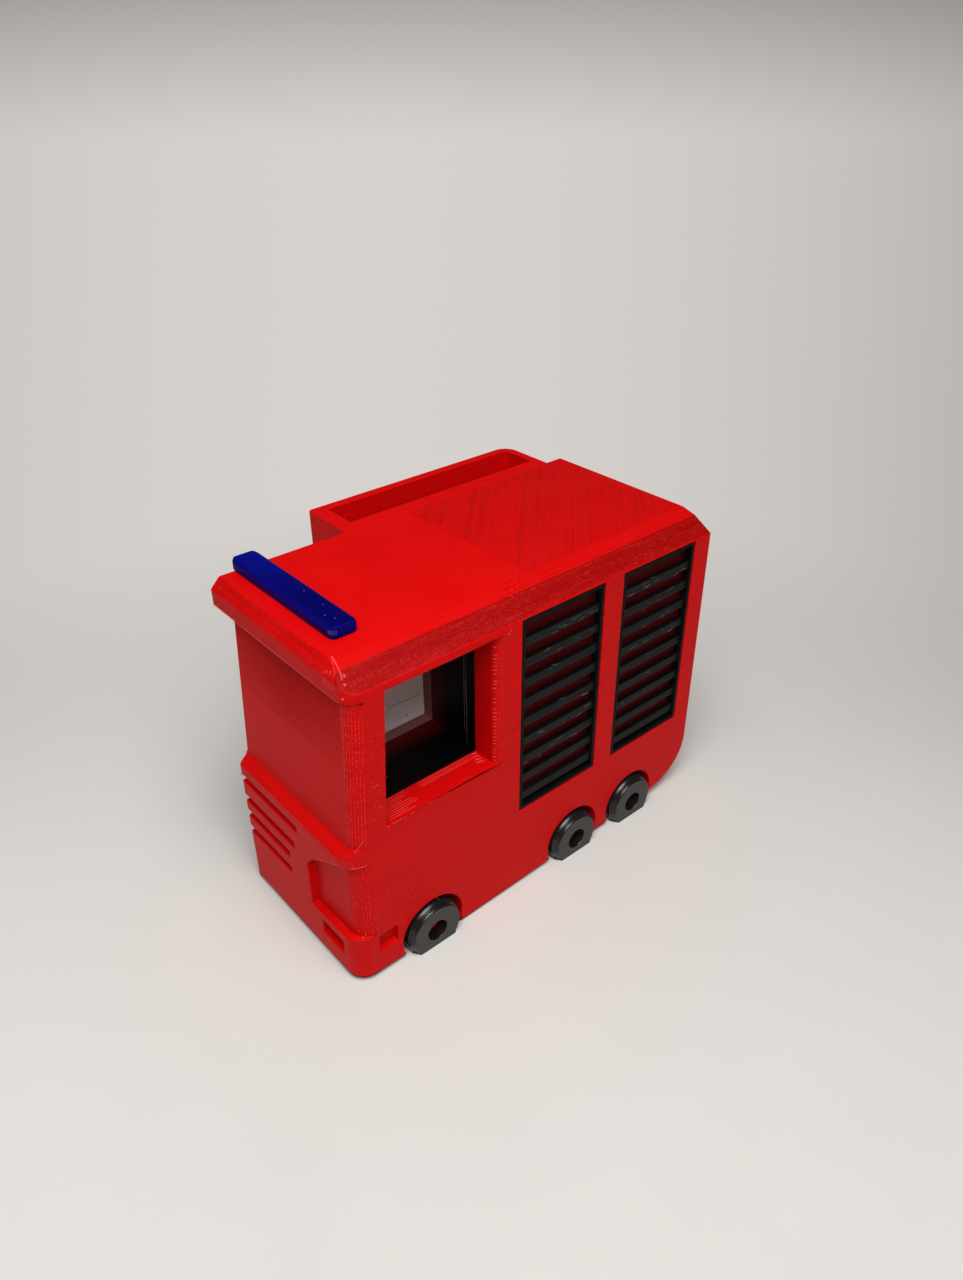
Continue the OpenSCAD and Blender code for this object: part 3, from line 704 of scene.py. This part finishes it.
HUB_Z, FOOT_H, FOOT_CUT, FOOT_SPREAD, FOOT_BULGE = 3.3, 0.5, 0.18, 0.32, 0.12
for place in ("front", "middle", "rear"):
    for side in ("left", "right"):
        node = "wheel_" + place + "_" + side
        low, high = (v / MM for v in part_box(node))
        hub_x = (low.x + high.x) / 2
        inner, out_sign = (low.y, 1) if side == "left" else (high.y, -1)
        wheel_form = bmesh.new()
        rings = []
        for k in range(WHEEL_SIDES):
            a = 2 * math.pi * k / WHEEL_SIDES
            rings.append([wheel_form.verts.new(Vector((
                hub_x + r * math.cos(a), inner + out_sign * w, HUB_Z + r * math.sin(a))) * MM)
                for r, w in WHEEL_OUTLINE])
        for k in range(WHEEL_SIDES):
            here, there = rings[k], rings[(k + 1) % WHEEL_SIDES]
            for j in range(len(WHEEL_OUTLINE)):
                j2 = (j + 1) % len(WHEEL_OUTLINE)
                band = wheel_form.faces.new((here[j], here[j2], there[j2], there[j]))
                on_face = WHEEL_OUTLINE[j][1] > FACE_FROM and WHEEL_OUTLINE[j2][1] > FACE_FROM
                band.material_index = OUTER_FACE if on_face else TREAD
        for cut in (0.0, FOOT_CUT * MM, FOOT_H * MM):
            bmesh.ops.bisect_plane(
                wheel_form, geom=[*wheel_form.verts, *wheel_form.edges, *wheel_form.faces],
                plane_co=(0, 0, cut), plane_no=(0, 0, -1), clear_outer=cut == 0.0)
        bmesh.ops.holes_fill(wheel_form, edges=[e for e in wheel_form.edges if e.is_boundary])
        bmesh.ops.recalc_face_normals(wheel_form, faces=wheel_form.faces)
        for v in wheel_form.verts:
            k = max(0.0, 1 - v.co.z / MM / FOOT_H)
            if k > 0:
                v.co.x += math.copysign(FOOT_SPREAD * MM * k, v.co.x - hub_x * MM)
                if out_sign * (v.co.y / MM - inner) > 4:
                    v.co.y += out_sign * FOOT_BULGE * MM * k
        for face in wheel_form.faces:
            if abs(face.normal.z) > 0.9 and face.calc_center_median().z < 0.1 * MM:
                face.material_index = TREAD
        finish_piece(node + "_print", wheel_form, [FACE_BLACK, TREAD_BLACK], place + "_axle",
                     [node])

# Floor: one sheet of pale matte paper that runs far back and curls up at its far end.
# Close to the truck it takes its shadows, further off it goes over to a pale glow of painted
# light.
AWAY = Vector((-0.650, -0.760, 0)).normalized()
ACROSS = Vector((-AWAY.y, AWAY.x, 0))
PAPER_NEAR, PAPER_HALF = -1.0, 2.2
CURL_START, CURL_RADIUS, CURL_ANGLE, CURL_STEPS = 1.5, 0.6, 66, 12
PULP_DARK, PULP_LIGHT = (0.64, 0.625, 0.592, 1), (0.675, 0.66, 0.627, 1)
LEFT_LIGHT_TONE, FAR_PAINTED_LIGHT = (0.74, 0.725, 0.69, 1), (0.675, 0.640, 0.605, 1)
paper_path = [(PAPER_NEAR, 0.0), (CURL_START, 0.0)]
for step in range(1, CURL_STEPS + 1):
    bend = math.radians(CURL_ANGLE * step / CURL_STEPS)
    paper_path.append((CURL_START + CURL_RADIUS * math.sin(bend),
                       CURL_RADIUS * (1 - math.cos(bend))))
sweep = bmesh.new()
rows = []
for reach, height in paper_path:
    rows.append([sweep.verts.new(AWAY * reach + ACROSS * side + Vector((0, 0, height)))
                 for side in (-PAPER_HALF, PAPER_HALF)])
for low, high in zip(rows, rows[1:]):
    sweep.faces.new((low[0], low[1], high[1], high[0]))
bmesh.ops.recalc_face_normals(sweep, faces=sweep.faces)
paper_mesh = bpy.data.meshes.new("paper_sweep")
sweep.to_mesh(paper_mesh)
sweep.free()
paper_mesh.polygons.foreach_set("use_smooth", [True] * len(paper_mesh.polygons))
paper = bpy.data.objects.new("paper_sweep", paper_mesh)
bpy.context.collection.objects.link(paper)
paper_mat = bpy.data.materials.new("pale_paper")
paper_mat.use_nodes = True
net = paper_mat.node_tree
m = partial(calc, net)
sheet = net.nodes["Principled BSDF"]
sheet.inputs["Roughness"].default_value = 0.9
sheet.inputs["Specular IOR Level"].default_value = 0.1
paper_place = net.nodes.new("ShaderNodeTexCoord").outputs["Object"]
far_turn, side_turn = (
    add_node(net, "ShaderNodeVectorMath", {"operation": "DOT_PRODUCT"},
             _0=paper_place, _1=way).outputs["Value"] for way in (AWAY, -ACROSS))

# The paper is of fine pulp; its left part is paler with painted light.
pulp = add_node(net, "ShaderNodeTexNoise", Scale=60.0, Detail=6.0, Vector=paper_place).outputs[0]
pulp_tone = mix_colours(net, pulp, PULP_DARK, PULP_LIGHT)
left_light_share = spread(net, side_turn, -0.02, -0.09)
net.links.new(mix_colours(net, left_light_share, pulp_tone, LEFT_LIGHT_TONE), sheet.inputs["Base Color"])

# The painted glow starts behind the truck, sooner at the sides, and all round further off.
side_past = spread(net, m("ABSOLUTE", side_turn), 0.05, 1.05, 0.0, 0.6)
far_start = spread(net, m("ADD", far_turn, side_past), 0.0, 0.16, kind="SMOOTHSTEP")
far_size = add_node(net, "ShaderNodeVectorMath", {"operation": "LENGTH"},
                    _0=paper_place).outputs["Value"]
round_start = spread(net, far_size, 0.28, 0.6, kind="SMOOTHSTEP")
far_share = m("MAXIMUM", far_start, round_start)

# The painted glow dims to the sides and up the curl: painted shade where less light falls.
SIDE_CENTRE, SIDE_LOSS, SIDE_LEAST, EYE_BACK = 0.1, -0.9, 0.6, 0.23
side_way = m("DIVIDE", side_turn, m("ADD", far_turn, EYE_BACK))
side_fade = m("MULTIPLY_ADD", m("POWER", m("ADD", side_way, SIDE_CENTRE), 2.0), SIDE_LOSS, 1.0)
rise = add_node(net, "ShaderNodeSeparateXYZ", Vector=paper_place).outputs["Z"]
rise_fade = spread(net, rise, 0.0, 0.3, 1.0, 0.4)
fade = m("MULTIPLY", m("MAXIMUM", side_fade, SIDE_LEAST), rise_fade)
glow = add_node(net, "ShaderNodeEmission", Color=FAR_PAINTED_LIGHT, Strength=fade)
ray = net.nodes.new("ShaderNodeLightPath").outputs
seen = m("MAXIMUM", ray["Is Camera Ray"], ray["Is Glossy Ray"])
paper_mix = add_node(net, "ShaderNodeMixShader", _0=m("MULTIPLY", seen, far_share),
                     _1=sheet.outputs[0], _2=glow.outputs[0])
net.links.new(paper_mix.outputs[0], net.nodes["Material Output"].inputs["Surface"])
paper_mesh.materials.append(paper_mat)

# Light: one wide soft box overhead on the left front side, and a dim room around it.
# The room is dimmer in reflections, and pale where the camera looks past the paper.
ROOM_LEVEL, ROOM_IN_GLOSS, ROOM_SEEN = 0.15, 0.04, 0.55
world = bpy.data.worlds.new("room")
bpy.context.scene.world = world
world.use_nodes = True
room = world.node_tree.nodes["Background"]
room.inputs["Color"].default_value = (1.0, 0.99, 0.98, 1)
room_ray = world.node_tree.nodes.new("ShaderNodeLightPath").outputs
room_level = spread(world.node_tree, room_ray["Is Glossy Ray"], 0.0, 1.0,
                    ROOM_LEVEL, ROOM_IN_GLOSS)
room_seen = spread(world.node_tree, room_ray["Is Camera Ray"], 0.0, 1.0, room_level, ROOM_SEEN)
world.node_tree.links.new(room_seen, room.inputs["Strength"])
BOX_PLACE, BOX_AIM = Vector((0.085, 0.13, 0.31)), Vector((0, 0, 0.03))
BOX_SIZE, BOX_POWER = 0.22, 1.27
lamp = bpy.data.lights.new("overhead_box", "AREA")
lamp.shape = "RECTANGLE"
lamp.size = lamp.size_y = BOX_SIZE
lamp.energy = BOX_POWER
overhead = bpy.data.objects.new("overhead_box", lamp)
overhead.location = BOX_PLACE
overhead.rotation_euler = (BOX_AIM - BOX_PLACE).to_track_quat("-Z", "Y").to_euler()
bpy.context.collection.objects.link(overhead)

# Camera: held close above the left front corner of the truck, at the angle of the photo.
# Its axes and place were solved from straight edges of the truck.
EYE = (0.09282, 0.11721, 0.13279)
RIGHT = Vector((-0.75736591, 0.65295653, -0.00668144))
UP = Vector((-0.35074713, -0.3981592, 0.84761177))
BACK = Vector((0.55079336, 0.64429576, 0.53057483))
lens = bpy.data.cameras.new("viewer")
lens.sensor_width = 36
lens.lens = 26.96
lens.clip_start = 0.01
viewer = bpy.data.objects.new("viewer", lens)
bpy.context.collection.objects.link(viewer)
turn = Matrix((RIGHT, UP, BACK)).transposed().to_4x4()
viewer.matrix_world = Matrix.Translation(EYE) @ turn
bpy.context.scene.camera = viewer
bpy.context.scene.view_settings.view_transform = "Standard"
